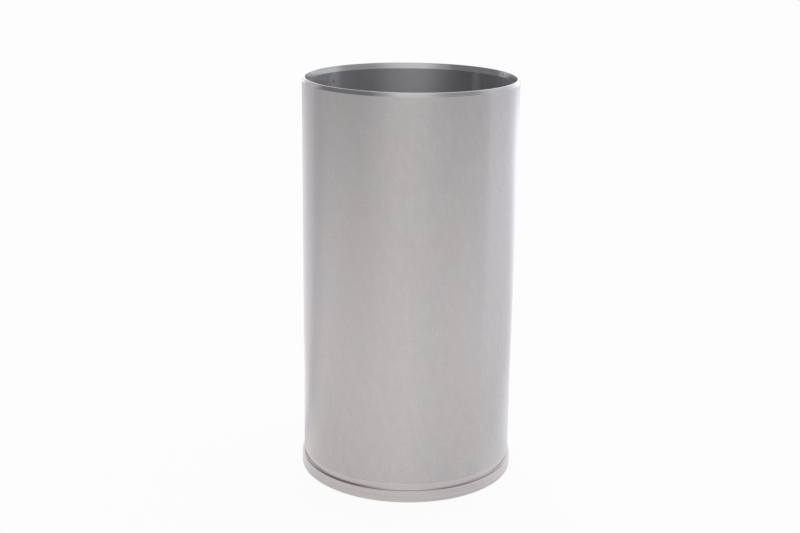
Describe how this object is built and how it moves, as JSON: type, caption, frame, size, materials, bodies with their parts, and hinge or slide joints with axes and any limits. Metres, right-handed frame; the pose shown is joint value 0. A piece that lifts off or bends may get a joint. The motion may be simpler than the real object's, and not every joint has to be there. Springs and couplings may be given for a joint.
{
  "type": "cylinder liner",
  "caption": "Thin-walled dry cylinder liner: a straight honed bore in a ground tube, with a short flange and relief groove at one end and a long outside lead-in at the other.",
  "frame": {"origin": "centre of the flange's end face, on the bore axis", "axes": "+Z along the bore axis, from the flange towards the plain end; X and Y are any two directions across it, because the liner is a body of revolution"},
  "size_m": [0.1082, 0.1082, 0.2004],
  "materials": {
    "liner_iron": "satin"
  },
  "bodies": {
    "root": {"cylinder_liner": "liner_iron"}
  },
  "joints": []
}
